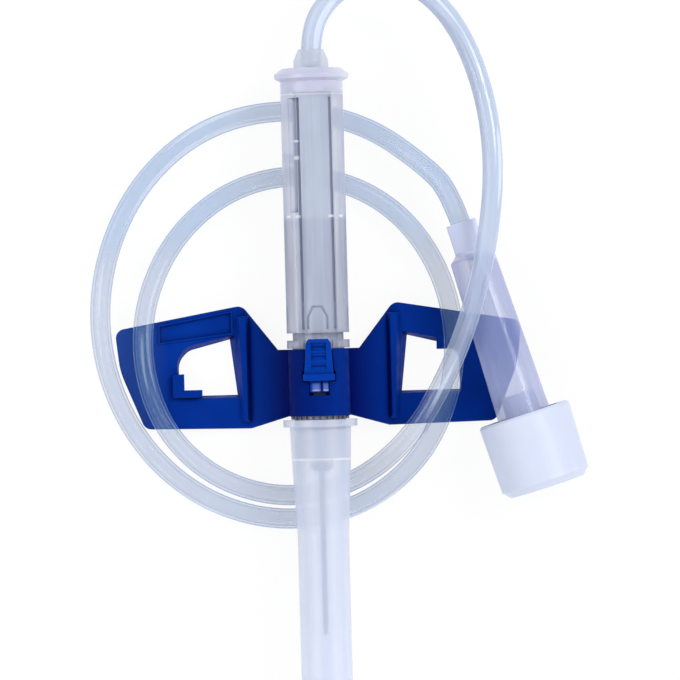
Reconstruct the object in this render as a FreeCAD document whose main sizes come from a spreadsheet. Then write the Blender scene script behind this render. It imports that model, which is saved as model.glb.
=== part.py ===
import FreeCAD, Part
import math
import os

import Sketcher

# A winged infusion set lying flat, in millimetres. +Y runs along the barrel from the needle to the
# tubing, +X is to the right seen from above, and the floor is z = 0.
# The needle sits on a carrier that slides back into the barrel once the release tab is pressed.

V = FreeCAD.Vector
doc = FreeCAD.newDocument("winged_infusion_set")

# Driving dimensions. Places along the barrel are Y, counted from the hub's middle.
SIZES = {
    "axis_height": 7.0,
    "bond_gap": 0.02,
    "slide_gap": 0.05,
    "cut_margin": 0.1,
    # barrel
    "barrel_width": 7.2,
    "barrel_corner": 2.2,
    "barrel_rear": 33.27,
    "barrel_front": 5.69,
    "barrel_bore": 4.6,
    "neck_diameter": 5.9,
    "neck_length": 0.82,
    "flange_diameter": 7.25,
    "flange_thickness": 0.94,
    "flange_notch": 3.4,
    "notch_floor": 0.05,
    "seat_diameter": 6.0,
    "ring_diameter": 6.7,
    "ring_length": 0.35,
    "ring_teeth": 28,
    "tooth_width": 0.35,
    "tooth_depth": 0.28,
    "spigot_diameter": 5.9,
    "spigot_front": -8.66,
    "spigot_bore": 2.9,
    "spigot_groove_y": -6.0,
    "spigot_groove_pitch": 0.9,
    "spigot_groove_width": 0.25,
    "spigot_groove_depth": 0.15,
    "front_wall_rear": -3.15,
    "groove_depth": 0.55,
    "left_groove_x": -2.3,
    "left_groove_width": 0.9,
    "left_groove_front": 19.1,
    "line_groove_width": 0.3,
    "line_groove_depth": 0.4,
    "groove_front_wall": 0.4,
    "groove_rear_wall": 0.6,
    "left_line_x": -1.64,
    "right_line_x": 2.0,
    "side_flat_depth": 0.25,
    "side_flat_height": 3.2,
    "side_flat_inset": 0.8,
    "clip_window_y": 25.8,
    "clip_window_length": 1.1,
    "clip_window_height": 1.3,
    "arch_width": 2.5,
    "arch_line": 0.3,
    "arch_depth": 0.3,
    "arch_front": 6.1,
    "arch_rear": 8.8,
    # end cap
    "cap_flange_diameter": 8.6,
    "cap_flange_thickness": 1.5,
    "cap_flange_rear_diameter": 6.9,
    "cap_flange_rear_bevel": 0.65,
    "cap_flange_front_bevel": 0.35,
    "cap_flange_round": 0.3,
    "cap_body_length": 1.35,
    "cap_dish_gap": 0.15,
    "cap_dish_depth": 0.3,
    "cap_sleeve_front": 28.1,
    # needle carrier
    "rod_diameter": 3.3,
    "collar_diameter": 4.4,
    "collar_rear": 4.0,
    "collar_front": -3.05,
    "latch_groove_depth": 0.25,
    "latch_groove_width": 0.7,
    "nose_diameter": 2.7,
    "nose_front": -10.26,
    "nose_round": 0.8,
    "bell_diameter": 4.04,
    "bell_length": 2.45,
    "bell_straight": 1.15,
    "bell_rear_diameter": 2.9,
    "bell_round": 0.6,
    "socket_depth": 1.95,
    "lumen_diameter": 1.2,
    # cannula
    "cannula_diameter": 0.64,
    "cannula_bore": 0.4,
    "cannula_tip": -29.14,
    "cannula_seat": 5.3,
    "bevel_length": 1.7,
    # needle cover
    "cover_flange_diameter": 8.55,
    "cover_rear": -4.3,
    "cover_flange_thickness": 0.8,
    "cover_mouth_diameter": 7.07,
    "cover_waist_diameter": 6.85,
    "cover_waist_y": -8.7,
    "cover_tube_diameter": 5.95,
    "cover_tube_y": -17.4,
    "cover_tip_diameter": 5.9,
    "cover_end": -38.2,
    "cover_end_round": 1.9,
    "cover_socket_front": -9.0,
    "cover_inside": 4.4,
    "cover_end_wall": 1.3,
    # wings and hub
    "hub_length": 7.7,
    "hub_width": 7.0,
    "hub_top": 10.9,
    "hub_bottom": 3.35,
    "hub_corner": 2.3,
    "wing_reach": 23.6,
    "wing_thickness": 1.4,
    "wing_edge_round": 0.25,
    "fold_x": 8.25,
    "fold_inset": 0.2,
    "root_x": 3.3,
    "root_top": 5.6,
    "root_depth": 1.57,
    "fold_top_x": 8.8,
    "fold_top_y": 9.1,
    "fold_bottom_x": 8.0,
    "fold_bottom_y": -5.2,
    "neck_corner_x": 4.7,
    "tip_top_y": 6.55,
    "tip_side_inset": 0.5,
    "tip_side_y": 1.8,
    "tip_bottom_inset": 3.25,
    "tip_bottom_y": -5.0,
    "tip_round": 1.1,
    "side_round": 9.0,
    "fold_round": 1.2,
    "rib_height": 0.9,
    "rib_top_width": 0.8,
    "rib_bottom_width": 0.4,
    "rib_draft": 0.55,
    "rib_round": 0.15,
    "rib_inset": 0.1,
    "rib_top_inset": 1.25,
    "rib_bottom_inset": 1.1,
    "window_top_inner_y": 5.2,
    "window_top_outer_y": 4.0,
    "window_inner_top_x": 10.3,
    "window_inner_bottom_x": 9.55,
    "window_bottom_y": -1.25,
    "window_corner_x": 15.1,
    "window_outer_x": 16.3,
    "window_side_top_y": 2.8,
    "window_round": 2.0,
    "inner_draft": 0.65,
    "bottom_draft": 0.3,
    "top_draft": 0.5,
    "outer_draft": 0.12,
    "hook_left": 17.0,
    "hook_edge": 15.7,
    "hook_foot": 13.63,
    "hook_top_y": 1.29,
    "hook_foot_y": -0.58,
    "hook_bottom_y": -1.45,
    "hook_height": 0.7,
    "hook_round": 0.3,
    "catch_inner_x": 13.7,
    "catch_bottom_y": 3.45,
    "catch_root": 0.3,
    "catch_rise": 0.1,
    "panel_depth": 0.25,
    "panel_rim": 0.2,
    "panel_rim_height": 0.12,
    "panel_left": 18.4,
    "panel_right": 10.1,
    "panel_left_top_y": 6.85,
    "panel_left_bottom_y": 5.0,
    "panel_right_top_y": 8.3,
    "panel_right_bottom_y": 5.95,
    # release tab
    "slot_gap": 0.12,
    "slot_lip_gap": 0.3,
    "slot_front": -1.5,
    "tab_rear": 4.97,
    "tab_top": 11.9,
    "tab_rear_drop": 0.35,
    "tab_rear_slope": 0.4,
    "tab_dip": 0.3,
    "tab_corner": 0.4,
    "tab_taper_end": 0.5,
    "tab_lip_top": 12.0,
    "tab_lip_rear": 0.97,
    "tab_lip_front": 0.2,
    "tab_rear_width": 2.9,
    "tab_width": 3.36,
    "tab_lip_width": 3.66,
    "tab_arm_front": -1.1,
    "tab_arm_top": 10.95,
    "tab_arm_width": 2.1,
    "tab_arm_line_x": 0.3,
    "tab_arm_line_width": 0.26,
    "tab_arm_line_depth": 0.3,
    "tab_under": 10.1,
    "tab_relief_gap": 0.08,
    "tab_rear_under": 10.8,
    "tab_groove_depth": 0.45,
    "tab_groove_radius": 0.5,
    "tab_round": 0.15,
    "tab_groove_length": 1.75,
    "tab_groove_pitch": 1.1,
    "tab_groove_y": 1.85,
    "tab_grooves": 3,
    "tooth_rear": -0.55,
    "tooth_front": -0.95,
    "tooth_clear": 0.05,
    "tooth_root": 0.4,
    "latch_tooth_width": 1.3,
    "latch_slot_gap": 0.25,
    "pin_y": 0.55,
    "pin_z": 10.02,
    "pin_diameter": 0.7,
    "pin_reach": 2.25,
    "pin_end_gap": 0.1,
    # tubing, luer connector and luer cap
    "tube_diameter": 2.35,
    "luer_x": 23.46,
    "luer_y": -4.29,
    "luer_angle": 16.6,
    "luer_floor_gap": 0.02,
    "sleeve_diameter": 3.6,
    "sleeve_length": 3.5,
    "sleeve_seat": 3.0,
    "connector_rear": 23.24,
    "connector_rear_diameter": 5.3,
    "connector_diameter": 6.2,
    "connector_shoulder": 0.8,
    "connector_mouth": -5.5,
    "lug_diameter": 7.3,
    "lug_length": 1.1,
    "luer_mouth_diameter": 4.4,
    "luer_inner_diameter": 4.0,
    "luer_depth": 12.5,
    "bridge_bore": 1.4,
    "cap_diameter": 10.8,
    "cap_end_diameter": 10.4,
    "cap_length": 8.8,
    "cap_chamfer": 0.8,
    "cap_recess_diameter": 8.2,
    "cap_end_wall": 1.3,
    "plug_tip": 2.4,
    "cap_mouth_bevel": 0.25,
}

sheet = doc.addObject("Spreadsheet::Sheet", "sizes")
for row, (alias, number) in enumerate(SIZES.items(), 1):
    sheet.set(f"A{row}", alias)
    sheet.set(f"B{row}", str(number))
    sheet.setAlias(f"B{row}", alias)
doc.recompute()


class Length:
    """A number with the expression that gives it from the sheet's sizes."""

    def __init__(self, number, text):
        self.number, self.text = number, text

    def joined(self, sign, other, number):
        return Length(number, f"({self.text} {sign} {other.text})")

    def __add__(self, other):
        other = length(other)
        return self.joined("+", other, self.number + other.number)

    def __sub__(self, other):
        other = length(other)
        return self.joined("-", other, self.number - other.number)

    def __mul__(self, other):
        other = length(other)
        return self.joined("*", other, self.number * other.number)

    def __truediv__(self, other):
        other = length(other)
        return self.joined("/", other, self.number / other.number)

    def __neg__(self):
        return length(0) - self

    def __radd__(self, other):
        return length(other) + self

    def __rsub__(self, other):
        return length(other) - self

    def __rmul__(self, other):
        return length(other) * self


def length(value):
    return value if isinstance(value, Length) else Length(float(value), repr(float(value)))


def size(alias):
    return Length(float(sheet.get(alias)), "sizes." + alias)


class Sizes:
    """Each of the sheet's sizes as an attribute."""

    def __getattr__(self, alias):
        return size(alias)


d = Sizes()


def bind(thing, prop, value):
    thing.setExpression(prop, length(value).text)


def new_body(label):
    body = doc.addObject("PartDesign::Body", label)
    body.Label = label
    return body


def new_sketch(body, plane, offset=None):
    """A sketch on one of the body's own origin planes, lifted along its normal by offset."""
    sketch = body.newObject("Sketcher::SketchObject", body.Name + "_sketch")
    planes = {part.Role: part for part in body.Origin.OriginFeatures}
    sketch.AttachmentSupport = [(planes[plane], "")]
    sketch.MapMode = "FlatFace"
    if offset is not None:
        bind(sketch, "AttachmentOffset.Base.z", offset)
    return sketch


def fix_point(sketch, geometry, end, x, y):
    """Holds one point of the sketch at x, y from its origin."""
    for kind, value in (("DistanceX", length(x)), ("DistanceY", length(y))):
        index = sketch.addConstraint(Sketcher.Constraint(kind, -1, 1, geometry, end, value.number))
        bind(sketch, f"Constraints[{index}]", value)


def polygon(sketch, corners):
    """A closed outline of straight lines through the corners."""
    first, count = sketch.GeometryCount, len(corners)
    spots = [V(length(x).number, length(y).number) for x, y in corners]
    for i in range(count):
        sketch.addGeometry(Part.LineSegment(spots[i], spots[(i + 1) % count]))
    for i, (x, y) in enumerate(corners):
        last = first + (i - 1) % count
        sketch.addConstraint(Sketcher.Constraint("Coincident", last, 2, first + i, 1))
        fix_point(sketch, first + i, 1, x, y)


def rectangle(sketch, left, right, bottom, top):
    polygon(sketch, [(left, bottom), (right, bottom), (right, top), (left, top)])


def circle(sketch, x, y, diameter):
    spot = V(length(x).number, length(y).number)
    radius = length(diameter) / 2
    index = sketch.addGeometry(Part.Circle(spot, V(0, 0, 1), radius.number))
    fix_point(sketch, index, 3, x, y)
    held = sketch.addConstraint(Sketcher.Constraint("Radius", index, radius.number))
    bind(sketch, f"Constraints[{held}]", radius)


def turned(body, corners):
    """Revolves a half section of (radius, along) corners round the body's own Y axis."""
    sketch = new_sketch(body, "XY_Plane")
    polygon(sketch, corners)
    feature = body.newObject("PartDesign::Revolution", body.Name + "_turned")
    feature.Profile = sketch
    feature.ReferenceAxis = (sketch, ["V_Axis"])
    feature.Angle = 360
    doc.recompute()
    return feature


def middle_pad(body, sketch, depth):
    """Pads a sketch equally to both sides of its plane."""
    feature = body.newObject("PartDesign::Pad", body.Name + "_pad")
    feature.Profile = sketch
    feature.Midplane = True
    bind(feature, "Length", depth)
    doc.recompute()
    return feature


def raised_pad(body, sketch, depth):
    """Pads a sketch along its plane's normal."""
    feature = body.newObject("PartDesign::Pad", body.Name + "_raised")
    feature.Profile = sketch
    bind(feature, "Length", depth)
    doc.recompute()
    return feature


def pocket(body, sketch, depth, middle=True, backwards=False):
    """Cuts a sketch out of the body, and makes sure that something was cut."""
    before = body.Shape.Volume
    feature = body.newObject("PartDesign::Pocket", body.Name + "_pocket")
    feature.Profile = sketch
    feature.Midplane = middle
    feature.Reversed = backwards
    bind(feature, "Length", depth)
    doc.recompute()
    if not feature.Shape.Volume < before:
        raise RuntimeError(f"{feature.Label} of {body.Label} cuts nothing")
    return feature


def loft(body, kind, lower, upper):
    feature = body.newObject("PartDesign::" + kind, body.Name + "_loft")
    feature.Profile = lower
    feature.Sections = [upper]
    feature.Ruled = True
    doc.recompute()
    return feature


def rounded(body, edges, radius):
    """Rounds the edges of the body's last feature."""
    if not edges:
        raise RuntimeError(f"no edges to round on {body.Label}")
    feature = body.newObject("PartDesign::Fillet", body.Name + "_fillet")
    feature.Base = (body.Tip if body.Tip != feature else feature.BaseFeature, edges)
    bind(feature, "Radius", radius)
    doc.recompute()
    return feature


def edge_names(shape, test):
    return [f"Edge{i}" for i, edge in enumerate(shape.Edges, 1) if test(edge)]


def ring_edges(shape, diameter, along):
    """The circular edges of that diameter at that place on the Y axis."""
    radius, along = length(diameter).number / 2, length(along).number

    def fits(edge):
        curve = edge.Curve
        return (
            isinstance(curve, Part.Circle)
            and abs(curve.Radius - radius) < 1e-3
            and abs(curve.Center.y - along) < 1e-3
        )

    return edge_names(shape, fits)


def standing_edges(shape, foot, head):
    """The edges that rise from over one x, y to over another."""
    foot, head = [V(length(x).number, length(y).number) for x, y in (foot, head)]

    def fits(edge):
        ends = sorted(edge.Vertexes, key=lambda vertex: vertex.Z)
        spots = [V(end.X, end.Y) for end in ends]
        return (
            len(spots) == 2
            and (spots[0] - foot).Length < 1e-3
            and (spots[1] - head).Length < 1e-3
        )

    return edge_names(shape, fits)


def upright_edges(shape, x, y):
    """The vertical edges that stand at x, y."""
    return standing_edges(shape, (x, y), (x, y))


def lift(body):
    """Puts a body that is modelled round the Y axis at the barrel's height."""
    bind(body, "Placement.Base.z", d.axis_height)


def polar(body, feature, count):
    """Repeats a feature round the body's Y axis."""
    axes = {part.Role: part for part in body.Origin.OriginFeatures}
    pattern = body.newObject("PartDesign::PolarPattern", body.Name + "_polar")
    pattern.Originals = [feature]
    pattern.Axis = (axes["Y_Axis"], [""])
    pattern.Angle = 360
    bind(pattern, "Occurrences", count)
    body.Tip = pattern
    doc.recompute()
    return pattern


# Places that several pieces share
hub_end = d.hub_length / 2
flange_rear = d.barrel_front - d.neck_length
flange_front = flange_rear - d.flange_thickness
cap_flange_front = d.barrel_rear + d.cap_body_length
cap_rear = cap_flange_front + d.cap_flange_thickness
bell_front = cap_rear - d.cap_dish_depth + d.slide_gap
bell_rear = bell_front + d.bell_length
rod_bore = d.rod_diameter + d.slide_gap * 2
latch_y = (d.tooth_rear + d.tooth_front) / 2


def make_barrel():
    """The clear housing: grooved body, notched neck, flange, hub seat, toothed ring and spigot."""
    body = new_body("barrel")
    lift(body)
    section = new_sketch(body, "XZ_Plane", -d.barrel_rear)
    half = d.barrel_width / 2
    rectangle(section, -half, half, -half, half)
    raised_pad(body, section, d.barrel_rear - d.barrel_front)
    long_edges = edge_names(
        body.Shape, lambda edge: abs(edge.tangentAt(edge.FirstParameter).y) > 0.99
    )
    rounded(body, long_edges, d.barrel_corner)

    # the neck, the flange, the seat in the hub, the ring and the spigot are turned
    sketch = new_sketch(body, "XY_Plane")
    ring_rear = -hub_end - d.bond_gap
    ring_front = ring_rear - d.ring_length
    polygon(
        sketch,
        [
            (0, d.barrel_front),
            (d.neck_diameter / 2, d.barrel_front),
            (d.neck_diameter / 2, flange_rear),
            (d.flange_diameter / 2, flange_rear),
            (d.flange_diameter / 2, flange_front),
            (d.seat_diameter / 2, flange_front),
            (d.seat_diameter / 2, ring_rear),
            (d.ring_diameter / 2, ring_rear),
            (d.ring_diameter / 2, ring_front),
            (d.spigot_diameter / 2, ring_front),
        ]
        + [
            (d.spigot_diameter / 2 - sunk, d.spigot_groove_y - number * d.spigot_groove_pitch - edge)
            for number in (0, 1)
            for edge, sunk in (
                (0, 0),
                (0, d.spigot_groove_depth),
                (d.spigot_groove_width, d.spigot_groove_depth),
                (d.spigot_groove_width, 0),
            )
        ]
        + [
            (d.spigot_diameter / 2, d.spigot_front),
            (0, d.spigot_front),
        ],
    )
    turned_part = body.newObject("PartDesign::Revolution", "barrel_front_end")
    turned_part.Profile = sketch
    turned_part.ReferenceAxis = (sketch, ["V_Axis"])
    turned_part.Angle = 360
    doc.recompute()

    # the bore is wide for the carrier's collar and narrow in the spigot
    for diameter, front, rear in (
        (d.barrel_bore, d.front_wall_rear, d.barrel_rear),
        (d.spigot_bore, d.spigot_front, d.barrel_rear),
    ):
        bore = new_sketch(body, "XZ_Plane", -rear)
        circle(bore, 0, 0, diameter)
        pocket(body, bore, rear - front, middle=False, backwards=True)

    # long grooves on the top face, the wide one only over the rear half
    top = d.barrel_width / 2
    for x, width, depth, front in (
        (d.left_groove_x, d.left_groove_width, d.groove_depth, d.left_groove_front),
        (d.left_line_x, d.line_groove_width, d.line_groove_depth, d.barrel_front),
        (d.right_line_x, d.line_groove_width, d.line_groove_depth, d.barrel_front),
    ):
        groove = new_sketch(body, "XY_Plane", top)
        ends = front + d.groove_front_wall, d.barrel_rear - d.groove_rear_wall
        rectangle(groove, x - width / 2, x + width / 2, *ends)
        pocket(body, groove, depth, middle=False)

    # a sunk arch behind the tab
    arch = new_sketch(body, "XY_Plane", top)
    half, line = d.arch_width / 2, d.arch_line
    shoulder = d.arch_rear - half
    corners = [
        (-half, d.arch_front),
        (-half, shoulder),
        (-half / 2, d.arch_rear),
        (half / 2, d.arch_rear),
        (half, shoulder),
        (half, d.arch_front),
        (half - line, d.arch_front),
        (half - line, shoulder),
        (half / 2 - line / 2, d.arch_rear - line),
        (line / 2 - half / 2, d.arch_rear - line),
        (line - half, shoulder),
        (line - half, d.arch_front),
    ]
    polygon(arch, corners)
    pocket(body, arch, d.arch_depth, middle=False)

    # flats on both sides run from the flange to the step
    for side in (-1, 1):
        flat = new_sketch(body, "XY_Plane")
        outer = d.barrel_width / 2 * side
        inner = outer - d.side_flat_depth * side
        edges = (outer, inner) if side < 0 else (inner, outer)
        rectangle(flat, *edges, d.barrel_front + d.side_flat_inset, d.left_groove_front)
        pocket(body, flat, d.side_flat_height)

    # the clip window goes through the left wall
    window = new_sketch(body, "XY_Plane")
    rectangle(
        window,
        -d.barrel_width / 2 - d.cut_margin,
        -d.barrel_bore / 2 + d.cut_margin * 3,
        d.clip_window_y - d.clip_window_length / 2,
        d.clip_window_y + d.clip_window_length / 2,
    )
    pocket(body, window, d.clip_window_height)

    # the flange is notched over the tab, and the seat has the latch's slot
    notch = new_sketch(body, "XY_Plane", d.neck_diameter / 2 + d.notch_floor)
    rectangle(
        notch,
        -d.flange_notch / 2,
        d.flange_notch / 2,
        flange_front - d.cut_margin,
        flange_rear + d.cut_margin,
    )
    pocket(body, notch, d.flange_diameter - d.neck_diameter, middle=False, backwards=True)
    slot = new_sketch(body, "XY_Plane")
    half_slot = d.latch_tooth_width / 2 + d.latch_slot_gap
    rectangle(
        slot,
        -half_slot,
        half_slot,
        d.tooth_front - d.latch_slot_gap,
        d.tooth_rear + d.latch_slot_gap,
    )
    pocket(body, slot, d.seat_diameter, middle=False, backwards=True)

    # teeth round the ring
    tooth = new_sketch(body, "XY_Plane", d.ring_diameter / 2)
    half_tooth = d.tooth_width / 2
    rectangle(tooth, -half_tooth, half_tooth, ring_front - d.cut_margin, ring_rear)
    gap = pocket(body, tooth, d.tooth_depth, middle=False)
    polar(body, gap, d.ring_teeth)
    return body


def make_end_cap():
    """The bush in the barrel's rear, with a flange and a long sleeve that guides the carrier."""
    body = new_body("end_cap")
    lift(body)
    sleeve = d.barrel_bore / 2 - d.bond_gap
    dish = d.bell_diameter / 2 + d.cap_dish_gap
    bevel_front = cap_rear - d.cap_flange_rear_bevel
    turned(
        body,
        [
            (rod_bore / 2, d.cap_sleeve_front),
            (sleeve, d.cap_sleeve_front),
            (sleeve, d.barrel_rear + d.bond_gap),
            (d.barrel_width / 2, d.barrel_rear + d.bond_gap),
            (d.barrel_width / 2, cap_flange_front),
            (d.cap_flange_diameter / 2, cap_flange_front + d.cap_flange_front_bevel),
            (d.cap_flange_diameter / 2, bevel_front),
            (d.cap_flange_rear_diameter / 2, cap_rear),
            (dish, cap_rear),
            (dish, cap_rear - d.cap_dish_depth),
            (rod_bore / 2, cap_rear - d.cap_dish_depth),
        ],
    )
    rounded(body, ring_edges(body.Shape, d.cap_flange_diameter, bevel_front), d.cap_flange_round)
    return body


def make_needle_carrier():
    """The sliding tube: nose, collar with the latch groove, long rod, and the bell."""
    body = new_body("needle_carrier")
    lift(body)
    collar, groove = d.collar_diameter / 2, d.collar_diameter / 2 - d.latch_groove_depth
    groove_front = latch_y - d.latch_groove_width / 2
    groove_rear = latch_y + d.latch_groove_width / 2
    socket = d.tube_diameter / 2 + d.bond_gap
    needle_hole = d.cannula_diameter / 2 + d.bond_gap
    turned(
        body,
        [
            (needle_hole, d.nose_front),
            (d.nose_diameter / 2, d.nose_front),
            (d.nose_diameter / 2, d.collar_front),
            (collar, d.collar_front),
            (collar, groove_front),
            (groove, groove_front),
            (groove, groove_rear),
            (collar, groove_rear),
            (collar, d.collar_rear),
            (d.rod_diameter / 2, d.collar_rear),
            (d.rod_diameter / 2, bell_front),
            (d.bell_diameter / 2, bell_front),
            (d.bell_diameter / 2, bell_front + d.bell_straight),
            (d.bell_rear_diameter / 2, bell_rear),
            (socket, bell_rear),
            (socket, bell_rear - d.socket_depth),
            (d.lumen_diameter / 2, bell_rear - d.socket_depth),
            (d.lumen_diameter / 2, d.nose_front + d.cannula_seat),
            (needle_hole, d.nose_front + d.cannula_seat),
        ],
    )
    shoulder = ring_edges(body.Shape, d.bell_diameter, bell_front + d.bell_straight)
    rounded(body, shoulder, d.bell_round)
    rounded(body, ring_edges(body.Shape, d.nose_diameter, d.nose_front), d.nose_round)
    return body


def make_cannula():
    """The steel needle, ground to a bevel that faces up."""
    body = new_body("cannula")
    lift(body)
    outer, inner = d.cannula_diameter / 2, d.cannula_bore / 2
    rear = d.nose_front + d.cannula_seat - d.bond_gap
    turned(
        body,
        [(inner, d.cannula_tip), (outer, d.cannula_tip), (outer, rear), (inner, rear)],
    )
    bevel = new_sketch(body, "YZ_Plane")
    polygon(
        bevel,
        [
            (d.cannula_tip - d.cut_margin, -outer),
            (d.cannula_tip + d.bevel_length, outer + d.cut_margin),
            (d.cannula_tip - d.cut_margin, outer + d.cut_margin),
        ],
    )
    pocket(body, bevel, d.cannula_diameter * 2)
    return body


def make_needle_cover():
    """The tapered sheath, closed at its end, whose mouth fits the spigot."""
    body = new_body("needle_cover")
    lift(body)
    mouth = d.spigot_diameter / 2 + d.slide_gap
    flange_end = d.cover_rear - d.cover_flange_thickness
    turned(
        body,
        [
            (mouth, d.cover_rear),
            (d.cover_flange_diameter / 2, d.cover_rear),
            (d.cover_flange_diameter / 2, flange_end),
            (d.cover_mouth_diameter / 2, flange_end),
            (d.cover_waist_diameter / 2, d.cover_waist_y),
            (d.cover_tube_diameter / 2, d.cover_tube_y),
            (d.cover_tip_diameter / 2, d.cover_end),
            (0, d.cover_end),
            (0, d.cover_end + d.cover_end_wall),
            (d.cover_inside / 2, d.cover_end + d.cover_end_wall),
            (d.cover_inside / 2, d.cover_tube_y),
            (mouth, d.cover_socket_front),
        ],
    )
    rounded(body, ring_edges(body.Shape, d.cover_tip_diameter, d.cover_end), d.cover_end_round)
    return body


def mirrored(corners, side):
    """Corners given for the right side, taken to the left side where side is -1."""
    return [(length(x) * side, y) for x, y in corners]


def window_corners(inner, bottom, top, outer):
    """The wing's window, grown by a draft on each side, for the right wing."""
    return [
        (d.window_inner_top_x - inner, d.window_top_inner_y + top),
        (d.window_corner_x + outer, d.window_top_outer_y + top),
        (d.window_outer_x + outer, d.window_side_top_y + top),
        (d.window_outer_x + outer, d.window_bottom_y - bottom),
        (d.window_inner_bottom_x - inner, d.window_bottom_y - bottom),
    ]


def make_wing_body():
    """Two windowed wings on sloping inner panels, and the hub round the barrel's seat."""
    body = new_body("wing_body")

    # the bent plate: flat wings on the floor, panels that slope up to a bridge in the hub
    section = new_sketch(body, "XZ_Plane")
    upper = [
        (d.root_x, d.root_top),
        (d.fold_x, d.wing_thickness),
        (d.wing_reach, d.wing_thickness),
    ]
    lower = [
        (d.wing_reach, 0),
        (d.fold_x - d.fold_inset, 0),
        (d.root_x, d.root_top - d.root_depth),
    ]
    right = upper + lower
    polygon(section, right + mirrored(right, -1)[::-1])
    middle_pad(body, section, d.fold_top_y * 3)

    # the plan outline, cut from a frame that is larger than the plate
    outline = new_sketch(body, "XY_Plane")
    margin = d.wing_reach * 2
    rectangle(outline, -margin, margin, -margin, margin)
    tip_side_x = d.wing_reach - d.tip_side_inset
    tip_bottom_x = d.wing_reach - d.tip_bottom_inset
    right = [
        (d.hub_width / 2, -hub_end),
        (d.fold_bottom_x, d.fold_bottom_y),
        (tip_bottom_x, d.tip_bottom_y),
        (tip_side_x, d.tip_side_y),
        (d.wing_reach, d.tip_top_y),
        (d.fold_top_x, d.fold_top_y),
        (d.neck_corner_x, hub_end),
    ]
    polygon(outline, right + mirrored(right, -1)[::-1])
    pocket(body, outline, d.hub_top * 3)
    for x, y, radius in (
        (tip_side_x, d.tip_side_y, d.side_round),
        (d.wing_reach, d.tip_top_y, d.tip_round),
        (tip_bottom_x, d.tip_bottom_y, d.tip_round),
        (d.fold_top_x, d.fold_top_y, d.fold_round),
    ):
        both = upright_edges(body.Shape, x, y) + upright_edges(body.Shape, -x, y)
        rounded(body, both, radius)

    # a soft edge round the top of the whole plate
    fold, root = d.fold_x.number, d.root_x.number
    low, high = d.wing_thickness.number, d.root_top.number

    def at_rim(edge):
        ends = [vertex.Point for vertex in edge.Vertexes]
        along_crease = abs(ends[0].x - ends[1].x) < 1e-3 and abs(ends[0].y - ends[1].y) > fold / 2
        shares = [min(max((fold - abs(end.x)) / (fold - root), 0), 1) for end in ends]
        heights = [low + (high - low) * share for share in shares]
        on_top = all(abs(end.z - height) < 1e-3 for end, height in zip(ends, heights))
        return on_top and not along_crease

    rounded(body, edge_names(body.Shape, at_rim), d.wing_edge_round)

    for side in (-1, 1):
        # the window, with drafted walls
        low = new_sketch(body, "XY_Plane")
        feet = mirrored(window_corners(0, 0, 0, 0), side)
        polygon(low, feet)
        high = new_sketch(body, "XY_Plane", d.wing_thickness)
        drafts = (d.inner_draft, d.bottom_draft, d.top_draft, d.outer_draft)
        heads = mirrored(window_corners(*drafts), side)
        polygon(high, heads)
        loft(body, "SubtractiveLoft", low, high)
        outer_corner = [
            name
            for foot, head in list(zip(feet, heads))[1:3]
            for name in standing_edges(body.Shape, foot, head)
        ]
        rounded(body, outer_corner, d.window_round)

        # the rib along the fold, wide at the top and narrow at the bottom
        base = new_sketch(body, "XY_Plane", d.wing_thickness - d.wing_edge_round)
        crest = new_sketch(body, "XY_Plane", d.wing_thickness + d.rib_height)
        for sketch, draft in ((base, d.rib_draft), (crest, length(0))):
            inner_x = d.fold_x + d.rib_inset
            top_y, bottom_y = d.fold_top_y - d.rib_top_inset, d.fold_bottom_y + d.rib_bottom_inset
            corners = [
                (inner_x - draft, top_y),
                (inner_x - draft, bottom_y - draft),
                (inner_x + d.rib_bottom_width + draft, bottom_y - draft),
                (inner_x + d.rib_top_width + draft, top_y),
            ]
            polygon(sketch, mirrored(corners, side))
        loft(body, "AdditiveLoft", base, crest)
        crest_height = (d.wing_thickness + d.rib_height).number

        def on_crest(edge):
            return all(abs(v.Z - crest_height) < 1e-3 and v.X * side > 0 for v in edge.Vertexes)

        rounded(body, edge_names(body.Shape, on_crest), d.rib_round)

    # the hook in the left window's lower outer corner
    hook = new_sketch(body, "XY_Plane")
    corners = [
        (d.hook_left, d.hook_top_y),
        (d.hook_edge, d.hook_top_y),
        (d.hook_edge, d.hook_foot_y),
        (d.hook_foot, d.hook_foot_y),
        (d.hook_foot, d.hook_bottom_y),
        (d.hook_left, d.hook_bottom_y),
    ]
    polygon(hook, mirrored(corners, -1))
    raised_pad(body, hook, d.wing_thickness + d.hook_height)
    for x, y in (
        (d.hook_left, d.hook_bottom_y),
        (d.hook_left, d.hook_top_y),
        (d.hook_foot, d.hook_bottom_y),
    ):
        rounded(body, upright_edges(body.Shape, -x, y), d.hook_round)

    # the catch that hangs from the right window's top edge
    catch = new_sketch(body, "XY_Plane")
    rectangle(
        catch,
        d.catch_inner_x,
        d.window_outer_x + d.catch_root,
        d.catch_bottom_y,
        d.window_top_inner_y,
    )
    raised_pad(body, catch, d.wing_thickness + d.catch_rise)

    # the sunk bare panel on the left wing's upper beam, with a low rim
    def panel_corners(rim):
        right = [
            (d.panel_left + rim, d.panel_left_top_y + rim),
            (d.panel_left + rim, d.panel_left_bottom_y - rim),
            (d.panel_right - rim, d.panel_right_bottom_y - rim),
            (d.panel_right - rim, d.panel_right_top_y + rim),
        ]
        return mirrored(right, -1)

    frame = new_sketch(body, "XY_Plane", d.wing_thickness)
    polygon(frame, panel_corners(d.panel_rim))
    raised_pad(body, frame, d.panel_rim_height)
    panel = new_sketch(body, "XY_Plane", d.wing_thickness + d.panel_rim_height)
    polygon(panel, panel_corners(length(0)))
    pocket(body, panel, d.panel_depth + d.panel_rim_height, middle=False)

    # the hub: a rounded block with the bore for the barrel's seat
    hub = new_sketch(body, "XZ_Plane")
    rectangle(hub, -d.hub_width / 2, d.hub_width / 2, d.hub_bottom, d.hub_top)
    middle_pad(body, hub, d.hub_length)

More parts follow.
